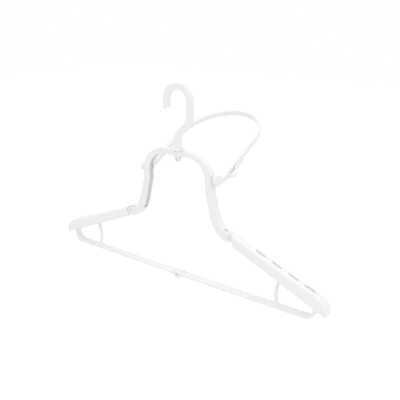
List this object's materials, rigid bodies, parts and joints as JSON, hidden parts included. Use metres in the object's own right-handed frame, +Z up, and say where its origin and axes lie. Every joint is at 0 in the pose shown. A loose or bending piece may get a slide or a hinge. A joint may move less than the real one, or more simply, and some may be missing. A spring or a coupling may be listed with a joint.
{
  "type": "hooded-top hanger",
  "caption": "White moulded folding hanger for hooded tops, with a swivel hook, a tilting hoop that holds the hood open, and a bar that toggles at its middle.",
  "frame": {"origin": "the place inside the hook's crown where the rail rests", "axes": "+X along the hanger to its right end as seen from the front, +Y to the back, where the hood hoop reaches, +Z up"},
  "size_m": [0.4204, 0.1567, 0.2564],
  "materials": {
    "hook_white": "satin",
    "hanger_white": "satin",
    "pin_white": "satin"
  },
  "bodies": {
    "hook": {"hook": "hook_white"},
    "neck": {"neck_arch": "hanger_white", "neck_pin_left": "pin_white", "neck_pin_right": "pin_white"},
    "shoulder_left": {"shoulder_left": "hanger_white"},
    "shoulder_right": {"shoulder_right": "hanger_white"},
    "toggle": {"centre_pin": "pin_white"},
    "bar_left": {"bar_left": "hanger_white"},
    "bar_right": {"bar_right": "hanger_white"},
    "hood": {"hood_hoop": "hanger_white", "hood_pin_left": "pin_white", "hood_pin_right": "pin_white"}
  },
  "joints": [
    {"name": "hook_swivel", "type": "hinge", "parent": "hook", "child": "neck", "pos_m": [0, 0, -0.07375], "axis": [0, 0, 1], "continuous": true},
    {"name": "shoulder_left_fold", "type": "hinge", "parent": "neck", "child": "shoulder_left", "pos_m": [-0.0795, 0, -0.16975], "axis": [0, -1, 0], "range_deg": [0, 5]},
    {"name": "shoulder_right_fold", "type": "hinge", "parent": "neck", "child": "shoulder_right", "pos_m": [0.0795, 0, -0.16975], "axis": [0, 1, 0], "range_deg": [0, 5]},
    {"name": "toggle_rise", "type": "slide", "parent": "neck", "child": "toggle", "axis": [0, 0, 1], "range_m": [0, 0.031]},
    {"name": "bar_left_fold", "type": "hinge", "parent": "toggle", "child": "bar_left", "pos_m": [0, 0, -0.24245], "axis": [0, -1, 0], "range_deg": [0, 12]},
    {"name": "bar_right_fold", "type": "hinge", "parent": "toggle", "child": "bar_right", "pos_m": [0, 0, -0.24245], "axis": [0, 1, 0], "range_deg": [0, 12]},
    {"name": "hood_tilt", "type": "hinge", "parent": "neck", "child": "hood", "pos_m": [0, 0.0025, -0.10345], "axis": [1, 0, 0], "range_deg": [-50, 60]}
  ],
  "couplings": [
    {"joint": "shoulder_right_fold", "follows": "shoulder_left_fold", "ratio": 1},
    {"joint": "toggle_rise", "follows": "shoulder_left_fold", "m_per_rad": 0.3545},
    {"joint": "bar_left_fold", "follows": "shoulder_left_fold", "ratio": 2.4},
    {"joint": "bar_right_fold", "follows": "shoulder_left_fold", "ratio": 2.4}
  ]
}
